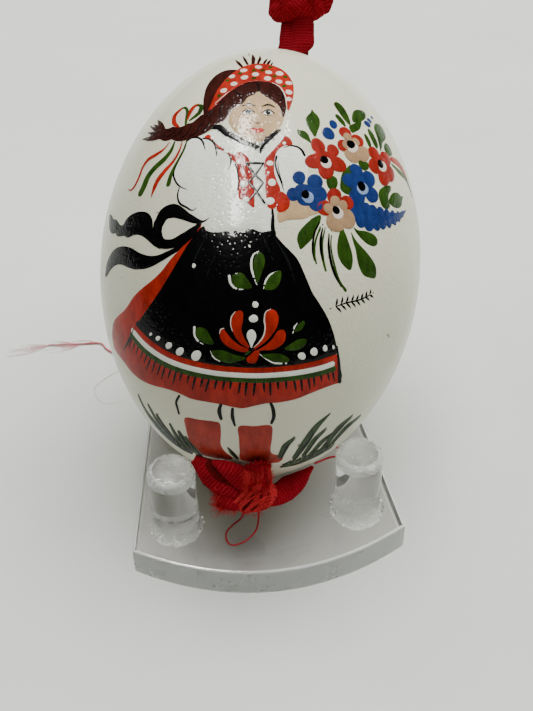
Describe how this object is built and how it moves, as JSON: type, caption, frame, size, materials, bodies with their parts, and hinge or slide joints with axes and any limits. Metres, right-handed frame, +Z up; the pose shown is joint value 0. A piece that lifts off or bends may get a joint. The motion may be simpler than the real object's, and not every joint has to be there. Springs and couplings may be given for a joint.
{
  "type": "decorated egg on stand",
  "caption": "Blown, painted goose egg with a red ribbon run through it, tied in a bow and a hanging loop, leaning back on a clear three-peg stand.",
  "frame": {"origin": "middle of the base plate's underside", "axes": "+Z up, -Y to the front edge of the stand, +X to the viewer's right"},
  "size_m": [0.0713, 0.0829, 0.0715],
  "materials": {
    "clear_acrylic": "clear cast acrylic, polished, with a faint frosting on the cut edges",
    "painted_eggshell": "varnished natural eggshell, cream white, painted by hand",
    "red_ribbon": "deep red woven ribbon, matt, with a fine rib",
    "red_thread": "red sewing thread, slightly fuzzy"
  },
  "bodies": {
    "stand": {"base_plate": "clear_acrylic", "peg_front_left": "clear_acrylic", "peg_front_right": "clear_acrylic", "peg_back": "clear_acrylic"},
    "ribbon": {"ribbon_core": "red_ribbon", "ribbon_neck": "red_ribbon", "top_knot": "red_ribbon", "bow_knot": "red_ribbon", "bow_ear_left": "red_ribbon", "bow_ear_right": "red_ribbon", "ribbon_cut_end": "red_ribbon", "thread_binding": "red_thread", "thread_loop": "red_thread", "thread_tail": "red_thread"},
    "shell": {"eggshell": "painted_eggshell"},
    "hanging_loop": {"hanging_loop": "red_ribbon"}
  },
  "joints": [
    {"name": "egg_lift", "type": "slide", "parent": "stand", "child": "ribbon", "axis": [0, 0, 1], "range_m": [0, 0.06]},
    {"name": "shell_turn", "type": "hinge", "parent": "ribbon", "child": "shell", "pos_m": [0.00257, 0.00571, 0.03872], "axis": [0.165, 0.7979, 0.5797], "continuous": true},
    {"name": "loop_swing", "type": "hinge", "parent": "ribbon", "child": "hanging_loop", "pos_m": [0.014, 0.0435, 0.0673], "axis": [1, 0, 0], "range_deg": [0, 150]}
  ]
}
